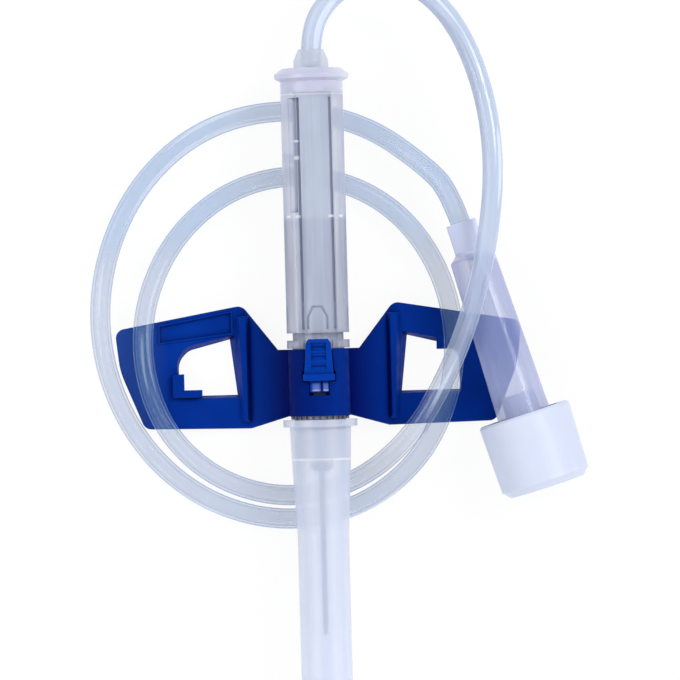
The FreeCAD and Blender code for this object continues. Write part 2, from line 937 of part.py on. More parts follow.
    def at_hub_top(edge):
        box = edge.BoundBox
        along = box.YMax - box.YMin > d.hub_length.number - 1e-3
        return along and abs(box.ZMax - d.hub_top.number) < 1e-3

    rounded(body, edge_names(body.Shape, at_hub_top), d.hub_corner)
    bore = new_sketch(body, "XZ_Plane")
    circle(bore, 0, d.axis_height, d.seat_diameter + d.bond_gap * 2)
    pocket(body, bore, d.hub_length * 2)

    # the slot for the release tab, open to the rear, and the holes for its pins
    slot = new_sketch(body, "XY_Plane", d.axis_height)
    rear, pad, lip, arm = [
        width / 2 + d.slot_gap
        for width in (d.tab_rear_width, d.tab_width, d.tab_lip_width, d.tab_arm_width)
    ]
    right = [
        (arm, d.slot_front),
        (arm, d.tab_lip_front - d.slot_gap),
        (lip, d.tab_lip_front - d.slot_gap),
        (lip, d.tab_lip_rear + d.slot_lip_gap),
        (pad, d.tab_lip_rear + d.slot_lip_gap),
        (rear, hub_end),
        (rear, hub_end * 2),
    ]
    polygon(slot, right + mirrored(right, -1)[::-1])
    pocket(body, slot, d.hub_top, middle=False, backwards=True)
    holes = new_sketch(body, "YZ_Plane")
    circle(holes, d.pin_y, d.pin_z, d.pin_diameter + d.slide_gap * 2)
    pocket(body, holes, (d.pin_reach + d.pin_end_gap) * 2)
    return body


def make_release_tab():
    """The rocker: ribbed pad, raised lip, front arm with the latch tooth, and two pins."""
    body = new_body("release_tab")
    profile = new_sketch(body, "YZ_Plane")
    polygon(
        profile,
        [
            (d.tab_arm_front, d.tab_under),
            (d.tab_lip_rear, d.tab_under),
            (d.tab_rear, d.tab_rear_under),
            (d.tab_rear, d.tab_top - d.tab_rear_drop),
            (d.tab_rear - d.tab_rear_slope, d.tab_top),
            (d.tab_lip_rear, d.tab_top - d.tab_dip),
            (d.tab_lip_rear, d.tab_lip_top),
            (d.tab_lip_front, d.tab_lip_top),
            (d.tab_lip_front, d.tab_arm_top),
            (d.tab_arm_front, d.tab_arm_top),
        ],
    )
    middle_pad(body, profile, d.tab_lip_width)

    # the plan outline of the pad and the narrower arm
    outline = new_sketch(body, "XY_Plane", d.tab_under)
    margin = d.tab_rear * 2
    rectangle(outline, -margin, margin, -margin, margin)
    right = [
        (d.tab_arm_width / 2, d.tab_arm_front - d.cut_margin),
        (d.tab_arm_width / 2, d.tab_lip_front),
        (d.tab_lip_width / 2, d.tab_lip_front),
        (d.tab_lip_width / 2, d.tab_lip_rear),
        (d.tab_width / 2, d.tab_lip_rear),
        (d.tab_rear_width / 2, d.tab_rear - d.tab_taper_end),
        (d.tab_rear_width / 2 - d.tab_corner, d.tab_rear + d.cut_margin),
    ]
    polygon(outline, right + mirrored(right, -1)[::-1])
    pocket(body, outline, d.tab_top)

    # soft edges along the pad and the lip
    def at_skin(edge):
        ends = [vertex.Point for vertex in edge.Vertexes]
        high = all(end.z > d.tab_top.number - d.tab_rear_drop.number for end in ends)
        along_pad = abs(ends[0].y - ends[1].y) > d.tab_width.number / 2
        on_lip = all(abs(end.z - d.tab_lip_top.number) < 1e-3 for end in ends)
        return high and (along_pad or on_lip)

    rounded(body, edge_names(body.Shape, at_skin), d.tab_round)

    # round finger grooves across the pad
    for number in range(SIZES["tab_grooves"]):
        y = d.tab_groove_y + d.tab_groove_pitch * number
        groove = new_sketch(body, "YZ_Plane")
        height = d.tab_top - d.tab_groove_depth + d.tab_groove_radius
        circle(groove, y, height, d.tab_groove_radius * 2)
        pocket(body, groove, d.tab_groove_length)

    # a fine line along the arm
    line = new_sketch(body, "XY_Plane", d.tab_arm_top)
    half_width = d.tab_arm_line_width / 2
    sides = d.tab_arm_line_x - half_width, d.tab_arm_line_x + half_width
    rectangle(line, *sides, d.tab_arm_front - d.cut_margin, d.tab_lip_front)
    pocket(body, line, d.tab_arm_line_depth, middle=False)

    # one pin on each side turns in the hub's walls
    pin = new_sketch(body, "YZ_Plane")
    circle(pin, d.pin_y, d.pin_z, d.pin_diameter)
    middle_pad(body, pin, d.pin_reach * 2)

    # the rocker is hollowed to clear the barrel's seat
    relief = new_sketch(body, "XZ_Plane")
    circle(relief, 0, d.axis_height, d.seat_diameter + d.tab_relief_gap * 2)
    pocket(body, relief, d.hub_length * 2)

    # the latch tooth reaches through the barrel's slot to just above the carrier's collar
    tooth_tip = d.axis_height + d.collar_diameter / 2 + d.tooth_clear
    tooth = new_sketch(body, "XY_Plane", tooth_tip)
    half = d.latch_tooth_width / 2
    rectangle(tooth, -half, half, d.tooth_front, d.tooth_rear)
    raised_pad(body, tooth, d.tab_arm_top - d.tooth_root - tooth_tip)
    return body


def make_luer_connector():
    """The female adapter: sleeve over the tubing, tapered body, and a luer mouth with lugs."""
    body = new_body("luer_connector")
    place_luer(body)
    tube_seat = d.tube_diameter / 2 + d.bond_gap
    sleeve_front = d.connector_rear - d.sleeve_length
    luer_end = d.connector_mouth + d.luer_depth
    turned(
        body,
        [
            (d.luer_mouth_diameter / 2, d.connector_mouth),
            (d.lug_diameter / 2, d.connector_mouth),
            (d.lug_diameter / 2, d.connector_mouth + d.lug_length),
            (d.connector_diameter / 2, d.connector_mouth + d.lug_length),
            (d.connector_diameter / 2, 0),
            (d.connector_rear_diameter / 2, sleeve_front - d.connector_shoulder),
            (d.sleeve_diameter / 2, sleeve_front),
            (d.sleeve_diameter / 2, d.connector_rear),
            (tube_seat, d.connector_rear),
            (tube_seat, d.connector_rear - d.sleeve_seat),
            (d.bridge_bore / 2, d.connector_rear - d.sleeve_seat),
            (d.bridge_bore / 2, luer_end),
            (d.luer_inner_diameter / 2, luer_end),
        ],
    )
    return body


def make_luer_cap():
    """The cap with a recess round the connector's mouth and a tapered plug in it."""
    body = new_body("luer_cap")
    place_luer(body)
    inside = -d.cap_length + d.cap_end_wall
    reach = d.plug_tip - d.connector_mouth
    taper = (d.luer_mouth_diameter - d.luer_inner_diameter) / 2 / d.luer_depth
    plug_base = d.luer_mouth_diameter / 2 - d.slide_gap
    plug_end = plug_base - taper * reach
    turned(
        body,
        [
            (0, -d.cap_length),
            (d.cap_end_diameter / 2 - d.cap_chamfer, -d.cap_length),
            (d.cap_end_diameter / 2, -d.cap_length + d.cap_chamfer),
            (d.cap_diameter / 2, -d.cap_mouth_bevel),
            (d.cap_diameter / 2 - d.cap_mouth_bevel, 0),
            (d.cap_recess_diameter / 2, 0),
            (d.cap_recess_diameter / 2, inside),
            (plug_base, inside),
            (plug_base, d.connector_mouth),
            (plug_end, d.plug_tip),
            (0, d.plug_tip),
        ],
    )
    return body


def place_luer(body):
    """Lays a piece on the connector's axis, whose origin is the middle of the cap's face."""
    bind(body, "Placement.Base.x", d.luer_x)
    bind(body, "Placement.Base.y", d.luer_y)
    bind(body, "Placement.Base.z", d.cap_diameter / 2 + d.luer_floor_gap)
    body.Placement.Rotation = FreeCAD.Rotation(V(0, 0, 1), d.luer_angle.number)
    bind(body, "Placement.Rotation.Angle", d.luer_angle)


# The tubing's route from the carrier's bell, over the connector and the right wing, twice round
# under the barrel and over the wings, and up into the connector
ROUTE = [
    (0.0, 40.25, 7.0),
    (1.8, 43.7, 7.2),
    (5.0, 46.0, 7.5),
    (8.9, 46.5, 7.9),
    (12.6, 45.2, 8.3),
    (15.9, 42.0, 8.8),
    (18.4, 37.3, 9.4),
    (20.2, 30.8, 10.2),
    (20.7, 23.4, 10.8),
    (19.7, 15.4, 10.9),
    (17.9, 8.2, 9.9),
    (15.0, 0.7, 5.9),
    (10.6, -6.6, 4.1),
    (4.0, -11.9, 1.3),
    (-4.6, -13.6, 1.2),
    (-13.2, -10.6, 2.3),
    (-19.2, -3.7, 2.8),
    (-20.9, 6.6, 2.8),
    (-17.3, 16.5, 2.0),
    (-9.5, 23.1, 1.2),
    (0.4, 24.4, 1.2),
    (9.5, 20.2, 1.5),
    (15.1, 11.6, 2.7),
    (16.1, 1.1, 2.8),
    (12.4, -8.5, 2.6),
    (4.6, -14.8, 1.3),
    (-5.3, -16.3, 1.2),
    (-14.9, -12.9, 2.1),
    (-21.9, -5.6, 2.9),
    (-25.4, 4.0, 2.8),
    (-24.9, 14.2, 2.2),
    (-20.5, 23.6, 1.3),
    (-12.8, 30.0, 1.2),
    (-3.1, 32.0, 1.2),
    (6.1, 29.8, 1.5),
    (12.8, 24.8, 3.6),
]
LAST_RUN = 3.5
BEND_SHARE = 0.45
VOLUME_TOLERANCE = 0.01


def route_points():
    """The route with its two ends, which sit in the bell and in the connector's sleeve."""
    height = d.cap_diameter.number / 2 + d.luer_floor_gap.number
    turn = math.radians(d.luer_angle.number)
    away = V(-math.sin(turn), math.cos(turn))
    origin = V(d.luer_x.number, d.luer_y.number, height)
    seat = d.connector_rear.number - d.sleeve_seat.number + d.bond_gap.number
    start = V(0, (bell_rear - d.socket_depth + d.bond_gap).number, d.axis_height.number)
    end = origin + away * seat
    before_end = origin + away * (d.connector_rear.number + LAST_RUN)
    return [start] + [V(*point) for point in ROUTE] + [before_end, end]


def make_tubing():
    """Straight runs joined by tangent arcs, each as large as its two runs allow."""
    points = route_points()
    edges, place = [], points[0]
    for before, corner, after in zip(points, points[1:], points[2:]):
        back, on = (before - corner), (after - corner)
        shorter = min(back.Length, on.Length)
        back.normalize()
        on.normalize()
        half_turn = (math.pi - back.getAngle(on)) / 2
        reach = BEND_SHARE * shorter
        radius = reach / math.tan(half_turn)
        print(f"bend at {tuple(round(c, 1) for c in corner)}: radius {radius:.1f}")
        enter, leave = corner + back * reach, corner + on * reach
        inward = back + on
        inward.normalize()
        middle = corner + inward * (radius / math.cos(half_turn) - radius)
        edges.append(Part.LineSegment(place, enter).toShape())
        edges.append(Part.Arc(enter, middle, leave).toShape())
        place = leave
    edges.append(Part.LineSegment(place, points[-1]).toShape())
    path = Part.Wire(edges)
    radius = d.tube_diameter.number / 2
    end_circle = Part.Circle(points[0], points[1] - points[0], radius)
    section = Part.Wire([end_circle.toShape()])
    tube = path.makePipeShell([section], True, False)
    expected = math.pi * radius**2 * path.Length
    print(f"tubing: path {path.Length:.1f} mm, volume {tube.Volume:.1f} of {expected:.1f}")
    if abs(tube.Volume - expected) > VOLUME_TOLERANCE * expected:
        raise RuntimeError("the tubing's volume isn't its section times its length")
    feature = doc.addObject("Part::Feature", "tubing")
    feature.Label = "tubing"
    feature.Shape = tube
    return feature


pieces = [
    make_barrel(),
    make_end_cap(),
    make_needle_carrier(),
    make_cannula(),
    make_needle_cover(),
    make_wing_body(),
    make_release_tab(),
    make_luer_connector(),
    make_luer_cap(),
    make_tubing(),
]
doc.recompute()

failed = [
    thing.Label for thing in doc.Objects if {"Invalid", "Error"} & set(thing.State)
]
if failed:
    raise RuntimeError(f"failed objects: {failed}")
for piece in pieces:
    if piece.Shape.isNull() or not piece.Shape.isValid() or len(piece.Shape.Solids) != 1:
        raise RuntimeError(f"{piece.Label} isn't one valid solid")

os.makedirs("parts", exist_ok=True)
for piece in pieces:
    piece.Shape.exportStep(f"parts/{piece.Label}.step")
    box = piece.Shape.BoundBox
    low = [round(c, 2) for c in (box.XMin, box.YMin, box.ZMin)]
    high = [round(c, 2) for c in (box.XMax, box.YMax, box.ZMax)]
    print(f"{piece.Label}: {piece.Shape.Volume:.1f} cubic mm, {low} to {high}")
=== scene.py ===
import math

import bpy
from mathutils import Matrix, Vector


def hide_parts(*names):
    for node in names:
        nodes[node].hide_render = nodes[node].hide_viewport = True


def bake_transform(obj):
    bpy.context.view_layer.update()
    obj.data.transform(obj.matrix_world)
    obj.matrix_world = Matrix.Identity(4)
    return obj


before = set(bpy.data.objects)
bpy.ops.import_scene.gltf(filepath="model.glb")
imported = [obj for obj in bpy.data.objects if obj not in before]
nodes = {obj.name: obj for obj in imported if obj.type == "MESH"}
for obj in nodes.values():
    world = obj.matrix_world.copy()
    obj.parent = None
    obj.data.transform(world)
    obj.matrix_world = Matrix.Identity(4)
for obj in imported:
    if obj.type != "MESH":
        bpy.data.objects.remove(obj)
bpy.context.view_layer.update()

MM = 0.001

# Where the camera looks, straight down on the lying set, and how wide its picture is
VIEW_CENTRE = Vector((2.51, 4.79, 5.0)) * MM
VIEW_WIDTH = 78.5 * MM
VIEW_ROLL = math.radians(-1.54)
CAMERA_DISTANCE = 0.7
SENSOR_WIDTH = 36.0

# The floor and the room round it
FLOOR_SIZE = 3
FLOOR_DROP = 0.03 * MM
FLOOR_COLOUR = (0.93, 0.93, 0.94, 1)
FLOOR_GLOW = 0.92  # the share of plain white in what the camera sees of the floor
ROOM_COLOUR = (0.97, 0.98, 1.0, 1)
ROOM_SIDES, ROOM_TOP = 0.85, 0.45  # how strongly it lights from its sides and from above

# Square area lights: name, place, size and watts
SOFTBOXES = [
    ("key", (0.55, 0.35, 0.75), 0.35, 5.0),
    ("fill", (-0.6, 0.2, 0.6), 0.5, 2.5),
    ("front", (0.1, -0.7, 0.5), 0.4, 2.0),
]

# The tubing
TUBE_DIAMETER = 2.35 * MM
LUMEN_DIAMETER = 1.7 * MM  # as wide as the bore looks through the round wall
TUBE_SIDES = 24
SPLINE_STEPS = 10
LUMEN_INSET = 2  # points of the path that the lumen leaves out at each end
STREAK_LENGTH = 30 * MM
STREAK_SCALE = 1.4

# The route's points in mm, as in the part's source, from the carrier's bell to the connector
ROUTE = [
    (0.0, 36.39, 7.0),
    (0.0, 40.25, 7.0),
    (1.8, 43.7, 7.2),
    (5.0, 46.0, 7.5),
    (8.9, 46.5, 7.9),
    (12.6, 45.2, 8.3),
    (15.9, 42.0, 8.8),
    (18.4, 37.3, 9.4),
    (20.2, 30.8, 10.2),
    (20.7, 23.4, 10.8),
    (19.7, 15.4, 10.9),
    (17.9, 8.2, 9.9),
    (15.0, 0.7, 5.9),
    (10.6, -6.6, 4.1),
    (4.0, -11.9, 1.3),
    (-4.6, -13.6, 1.2),
    (-13.2, -10.6, 2.3),
    (-19.2, -3.7, 2.8),
    (-20.9, 6.6, 2.8),
    (-17.3, 16.5, 2.0),
    (-9.5, 23.1, 1.2),
    (0.4, 24.4, 1.2),
    (9.5, 20.2, 1.5),
    (15.1, 11.6, 2.7),
    (16.1, 1.1, 2.8),
    (12.4, -8.5, 2.6),
    (4.6, -14.8, 1.3),
    (-5.3, -16.3, 1.2),
    (-14.9, -12.9, 2.1),
    (-21.9, -5.6, 2.9),
    (-25.4, 4.0, 2.8),
    (-24.9, 14.2, 2.2),
    (-20.5, 23.6, 1.3),
    (-12.8, 30.0, 1.2),
    (-3.1, 32.0, 1.2),
    (6.1, 29.8, 1.5),
    (12.8, 24.8, 3.6),
    (15.82, 21.34, 5.42),
    (17.67, 15.13, 5.42),
]

# Places on the part that the materials follow, in mm along the frame's axes
HUB_SIDE_X = 3.3
HUB_HALF_LENGTH = 3.7
HUB_TOP_X = (-3.5, 2.2)
INNER_PANEL_SHADE_X = 8.2
# the left wing's outer part, where painted light makes it paler
LEFT_WING_LIT_X = (-20.5, -17.5)
TAB_GROOVES_Y = (1.9, 3.0, 4.1)
# where two highlights are painted on the tab's arm
TAB_HIGHLIGHTS_X = ((-0.35, 0.4), (0.75, 0.3))  # middle and half width
BARREL_TEETH_Y = -4.05
BARREL_ARCH_Y = 9.0
BARREL_STEP_Y = 19.05
# where highlights are painted on the latch marks in the left groove
BARREL_LATCH_HIGHLIGHTS_Y = ((25.8, 0.2, 0.2), (27.7, 0.12, 0.1))  # middle, half width and softness
BARREL_GROOVE_X = 1.9
BARREL_SIDE_X = 3.0
END_CAP_JOINT_Y = 33.08
NOSE_Y = -9.0
SPIGOT_END_Y = -8.85
SLEEVE_Y = 13.5
LUER_BORE_RADIUS = 2.2
LUER_FRONT_Y = (-1, 4)
TUBE_LOW_Z = (1.8, 3.4)
TUBE_RAISED_Z = (4.5, 7.5)
BEHIND_WINGS_Y = (12, 18)
LUER_TURN = math.radians(16.6)  # how far the connector and its cap are turned from the barrel

# The unevenness of the plastics, in mm
NOISE_LOW, NOISE_HIGH = 0.3, 0.7  # nearly all of a noise lies between these
FLOW_SIZE = 6
MOULDED_GLOSS_SIZE = 1.5
GRAIN_SIZE, GRAIN_DEPTH = 0.25, 0.006
CLOUD_SIZE = 4
CLEAR_GLOSS_SIZE = 1
RIPPLE_SIZE, RIPPLE_DEPTH = 2.2, 0.02

# How clear plastic turns to its rims' colour, from seen square on at 0 to seen edge on at 1
RIM_BLEND = 0.35
RIM_START, RIM_END = 0.1, 0.9

# Where the mix node has its sockets for colours
MIX_FACTOR, MIX_FIRST, MIX_SECOND, MIX_RESULT = 0, 6, 7, 2


def paint(red, green, blue):
    """A colour given as 0 to 255, as the shader's linear red, green, blue and alpha."""
    def linear(value):
        share = value / 255
        return share / 12.92 if share <= 0.04045 else ((share + 0.055) / 1.055) ** 2.4

    return (linear(red), linear(green), linear(blue), 1.0)


def add_node(tree, kind, inputs=None, **settings):
    """A new shader node; each input given is a plain value or another node's output."""
    node = tree.nodes.new("ShaderNode" + kind)
    for setting, value in settings.items():
        setattr(node, setting, value)
    for socket, value in (inputs or {}).items():
        if isinstance(value, bpy.types.NodeSocket):
            tree.links.new(value, node.inputs[socket])
        else:
            node.inputs[socket].default_value = value
    return node


def map_range(tree, source, low, high, to_low, to_high):
    """source mapped from low..high to to_low..to_high, and held at the ends."""
    inputs = {
        "Value": source,
        "From Min": low,
        "From Max": high,
        "To Min": to_low,
        "To Max": to_high,
    }
    return add_node(tree, "MapRange", inputs).outputs["Result"]


# ---------------------------------------------------------------- materials


class Look:
    """A procedural material round one Principled shader, with its places and sizes in mm."""

    def __init__(self, name, roughness, **sockets):
        self.material = bpy.data.materials.new(name)
        self.material.use_nodes = True
        self.tree = self.material.node_tree
        self.shader = self.tree.nodes["Principled BSDF"]
        self.shader.inputs["Roughness"].default_value = roughness
        for socket, value in sockets.items():
            self.shader.inputs[socket.replace("_", " ")].default_value = value
        metres = self.node("TexCoord").outputs["Object"]
        scaled = self.node("VectorMath", {0: metres, "Scale": 1 / MM}, operation="SCALE")
        self.place = scaled.outputs["Vector"]

    def node(self, kind, inputs=None, **settings):
        return add_node(self.tree, kind, inputs, **settings)

    def link(self, source, socket):
        self.tree.links.new(source, self.shader.inputs[socket])

    # sums and masks, where a mask is 1 inside and 0 outside

    def maths(self, operation, first, second=0.0, clamp=False):
        """The result of one sum; each side is a number or an output."""
        node = self.node("Math", {0: first, 1: second}, operation=operation, use_clamp=clamp)
        return node.outputs[0]

    def absolute(self, source):
        return self.maths("ABSOLUTE", source)

    def both(self, first, second):
        """One mask inside the other, or a mask weakened to that share."""
        return self.maths("MULTIPLY", first, second)

    def either(self, first, second):
        return self.maths("MAXIMUM", first, second)

    def spread(self, source, low, high, to_low, to_high):
        return map_range(self.tree, source, low, high, to_low, to_high)

    def band(self, source, middle, half, soft):
        """1 where source is within half of middle, with soft ends, and 0 elsewhere."""
        off = self.absolute(self.maths("SUBTRACT", source, middle))
        return self.spread(off, half - soft / 2, half + soft / 2, 1, 0)

    # what a place on the surface is like

    def along(self, axis):
        """The place along one axis."""
        return self.node("SeparateXYZ", {"Vector": self.place}).outputs[axis]

    def off_axis(self, point, direction):
        """The distance from a line through the point."""
        arm = self.node("VectorMath", {0: self.place, 1: point}, operation="SUBTRACT")
        inputs = {0: arm.outputs["Vector"], 1: direction}
        cross = self.node("VectorMath", inputs, operation="CROSS_PRODUCT")
        length = self.node("VectorMath", {0: cross.outputs["Vector"]}, operation="LENGTH")
        return length.outputs["Value"]

    def crease(self, reach, low=0.3, high=0.8):
        """1 deep in the piece's own grooves and corners, 0 on its open faces; a mask for painted
        shade.
        """
        distance = {"Distance": reach * MM}
        hidden = self.node("AmbientOcclusion", distance, only_local=True, samples=5)
        return self.spread(hidden.outputs["AO"], low, high, 1, 0)

    def noise_at(self, place, scale, detail):
        inputs = {"Vector": place, "Scale": scale, "Detail": detail}
        return self.node("TexNoise", inputs).outputs["Fac"]

    def noise(self, size, detail=3, factors=None, turn=0.0):
        """Noise with features of about that size.

        The factors scale its x, y and z, on axes turned about z, and one under 1 draws the
        features out along that axis.
        """
        place = self.place
        if factors is not None:
            inputs = {
                "Vector": place,
                "Scale": tuple(1 / factor for factor in factors),
                "Rotation": (0, 0, turn),
            }
            place = self.node("Mapping", inputs, vector_type="TEXTURE").outputs["Vector"]
        return self.noise_at(place, 1 / size, detail)

    def uneven(self, low, high, size, detail=3, factors=None):
        """Noise that runs from low to high."""
        noise = self.noise(size, detail, factors)
        return self.spread(noise, NOISE_LOW, NOISE_HIGH, low, high)

    # what the material does there

    def mixed(self, factor, first, second):
        """first where factor is 0 and second where it is 1; either is a colour or an output."""
        inputs = {MIX_FACTOR: factor, MIX_FIRST: first, MIX_SECOND: second}
        return self.node("Mix", inputs, data_type="RGBA").outputs[MIX_RESULT]

    def repaint(self, mask, colour):
        """Takes the base colour to another colour where the mask is 1."""
        self.colour = self.mixed(mask, self.colour, colour)
        self.link(self.colour, "Base Color")

    def milkier(self, mask, amount):
        """Adds that much to the alpha where the mask is 1."""
        more = self.both(mask, amount)
        self.alpha = self.maths("ADD", self.alpha, more, clamp=True)
        self.link(self.alpha, "Alpha")

    def fainter(self, mask, share):
        """Takes that share of the alpha away where the mask is 1."""
        left = self.maths("SUBTRACT", 1.0, self.both(mask, share))
        self.alpha = self.both(self.alpha, left)
        self.link(self.alpha, "Alpha")

    def bump(self, height, depth):
        """A relief of that depth from a height of 0 to 1."""
        node = self.node("Bump", {"Height": height, "Distance": depth * MM})
        self.link(node.outputs["Normal"], "Normal")


def moulded(name, colour, shade, deep, *, reach, roughness, **sockets):
    """Moulded plastic: flow marks, painted shade of deep colour in creases, uneven gloss and fine
    grain.
    """
    look = Look(name, roughness, **sockets)
    flow = look.uneven(0, 1, FLOW_SIZE, 4)
    look.colour = look.mixed(flow, colour, shade)
    # painted shade: the deep colour where the creases hide the surface from light
    look.repaint(look.crease(reach), deep)
    gloss = look.uneven(roughness * 0.8, roughness * 1.25, MOULDED_GLOSS_SIZE)
    look.link(gloss, "Roughness")
    look.bump(look.noise(GRAIN_SIZE, 2), GRAIN_DEPTH)
    return look


def clear(name, middle, rim, *, seen, edge, roughness, start=RIM_START, ripple=RIPPLE_DEPTH):
    """Clear plastic whose alpha is given as seen square on and at its edges."""
    look = Look(name, roughness)
    facing = look.node("LayerWeight", {"Blend": RIM_BLEND}).outputs["Facing"]
    look.colour = middle
    look.repaint(look.spread(facing, start, RIM_END, 0, 1), rim)
    cloud = look.uneven(seen * 0.92, seen * 1.08, CLOUD_SIZE, factors=(1, 0.4, 1))
    rise = look.spread(facing, start, RIM_END, 0, edge - seen)
    look.alpha = look.maths("ADD", cloud, rise, clamp=True)
    look.link(look.alpha, "Alpha")
    gloss = look.uneven(roughness * 0.7, roughness * 1.4, CLEAR_GLOSS_SIZE)
    look.link(gloss, "Roughness")
    look.bump(look.noise(RIPPLE_SIZE, 2, (1, 0.25, 1)), ripple)
    return look


def blue_wings():
    look = moulded(
        "blue_wings",
        paint(5, 48, 141),
        paint(3, 41, 129),
        paint(0, 6, 76),
        reach=4,
        roughness=0.5,
        Specular_IOR_Level=0.08,
        Specular_Tint=(0.15, 0.4, 1, 1),
    )
    # painted shade where the inner panels meet the hub, and down the hub's left side
    x = look.along("X")
    off = look.absolute(x)
    hub = look.spread(off, HUB_SIDE_X, HUB_SIDE_X + 0.3, 1, 0)
    beside = look.spread(off, HUB_SIDE_X + 0.3, INNER_PANEL_SHADE_X, 1, 0)
    on_hub = look.spread(x, *HUB_TOP_X, 0.85, 0.35)
    off_hub = look.both(beside, look.maths("SUBTRACT", 1.0, hub))
    look.repaint(look.maths("ADD", look.both(on_hub, hub), off_hub), paint(0, 6, 80))
    # painted light makes the left wing's outer part paler
    look.repaint(look.spread(x, *LEFT_WING_LIT_X, 0.55, 0), paint(46, 76, 144))
    return look


def blue_tab():
    look = moulded(
        "blue_tab",
        paint(2, 54, 150),
        paint(0, 46, 138),
        paint(0, 30, 118),
        reach=0.5,
        roughness=0.4,
        Specular_IOR_Level=0.15,
        Specular_Tint=(0.2, 0.45, 1, 1),
    )
    x, y = look.along("X"), look.along("Y")
    # painted shade in the pad's grooves, darkest along their middles
    first, second, third = (look.band(y, middle, 0.12, 0.2) for middle in TAB_GROOVES_Y)
    rows = look.either(look.either(first, second), third)
    look.repaint(look.both(rows, look.band(x, 0, 0.8, 0.3)), paint(0, 26, 108))
    # two painted highlights on the tab's arm, brightest at their front
    left, right = (look.band(x, middle, half, 0.3) for middle, half in TAB_HIGHLIGHTS_X)
    highlight_patches = look.either(left, right)
    look.repaint(look.both(look.band(y, -0.5, 0.4, 0.2), highlight_patches), paint(84, 106, 170))
    look.repaint(look.both(look.band(y, -0.9, 0.08, 0.1), highlight_patches), paint(136, 154, 204))
    return look


def clear_barrel():
    middle, rim = paint(188, 194, 216), paint(168, 174, 198)
    look = clear("clear_barrel", middle, rim, seen=0.5, edge=0.9, roughness=0.08)
    x, y = look.along("X"), look.along("Y")
    off = look.absolute(x)
    # its middle is bluer and streaked, its right side greyer with painted shade, and all before
    # the step is greyer too
    core = look.band(x, 0.2, 1.5, 0.8)
    look.repaint(core, paint(197, 208, 226))
    look.repaint(look.both(look.band(x, BARREL_SIDE_X, 1.2, 0.8), 0.4), paint(160, 168, 190))
    before_step = look.spread(y, 18.5, 19.2, 0.85, 0)
    look.repaint(before_step, look.mixed(core, paint(144, 151, 176), paint(182, 190, 212)))
    streaks = look.spread(look.noise(0.7, 3, (1, 0.03, 0.3)), 0.4, 0.66, 0, 0.5)
    look.repaint(streaks, paint(214, 221, 237))
    # painted shade in the grooves, faint at the arch behind the tab and deepest between the ring's
    # teeth
    groove = look.crease(0.6, 0.4, 0.85)
    behind_arch = look.spread(y, BARREL_ARCH_Y, BARREL_ARCH_Y + 0.5, 0.35, 0.9)
    teeth = look.band(y, BARREL_TEETH_Y, 0.3, 0.1)
    groove_shade = look.mixed(teeth, paint(124, 130, 154), paint(40, 46, 76))
    look.repaint(look.both(groove, look.either(behind_arch, teeth)), groove_shade)
    look.milkier(groove, 0.35)
    # inside the hub it takes the hub's blue, darkened as painted shade in the recess round the tab
    in_hub = look.band(y, 0, HUB_HALF_LENGTH, 0.2)
    look.repaint(in_hub, paint(0, 22, 96))
    look.milkier(in_hub, 0.4)
    # painted highlights: small bright strokes at the step, on the latch marks in the left groove,
    # and a thin line at the cap
    at_groove = look.band(off, BARREL_GROOVE_X, 0.3, 0.2)
    at_side = look.band(off, BARREL_SIDE_X, 0.2, 0.2)
    step_highlights = look.both(look.band(y, BARREL_STEP_Y, 0.14, 0.14), look.either(at_groove, at_side))
    low_mark, high_mark = (look.band(y, *mark) for mark in BARREL_LATCH_HIGHLIGHTS_Y)
    left_groove = look.band(x, -BARREL_GROOVE_X, 0.3, 0.2)
    marks = look.both(left_groove, look.either(low_mark, high_mark))
    joint_highlight = look.both(look.band(y, END_CAP_JOINT_Y, 0.1, 0.1), 0.7)
    look.repaint(look.either(look.either(step_highlights, marks), joint_highlight), paint(240, 243, 252))
    return look


def lavender_cap():
    middle, rim = paint(200, 202, 224), paint(188, 190, 216)
    look = clear("lavender_cap", middle, rim, seen=0.75, edge=0.95, roughness=0.2)
    # painted light makes its right end brighter
    look.repaint(look.spread(look.along("X"), 1.5, 3.5, 0, 0.6), paint(222, 225, 238))
    return look


def clear_carrier():
    middle, rim = paint(214, 221, 236), paint(194, 202, 220)
    look = clear("clear_carrier", middle, rim, seen=0.45, edge=0.8, roughness=0.12)
    # the nose reads darker through the cover
    nose = look.spread(look.along("Y"), NOSE_Y - 0.4, NOSE_Y, 1, 0)
    look.repaint(nose, paint(92, 100, 126))
    look.milkier(nose, 0.4)
    return look


def clear_cover():
    middle, rim = paint(214, 222, 241), paint(206, 214, 234)
    look = clear("clear_cover", middle, rim, seen=0.44, edge=0.85, roughness=0.16)
    # painted highlights: pale bands on both sides of the needle, and a bright line where the
    # spigot ends inside
    highlight_bands = look.band(look.absolute(look.along("X")), 1.35, 0.6, 0.7)
    look.repaint(look.both(highlight_bands, 0.7), paint(230, 235, 250))
    look.repaint(look.band(look.along("Y"), SPIGOT_END_Y, 0.1, 0.12), paint(244, 246, 254))
    return look


def needle_steel():
    look = Look("needle_steel", 0.25, Metallic=1.0)
    drawn_and_lit_streaks = look.uneven(0, 1, 0.4, 2, (1, 0.08, 1))
    look.link(look.mixed(drawn_and_lit_streaks, paint(150, 155, 165), paint(120, 126, 138)), "Base Color")
    look.link(look.spread(drawn_and_lit_streaks, 0, 1, 0.2, 0.34), "Roughness")
    look.bump(drawn_and_lit_streaks, 0.004)
    return look


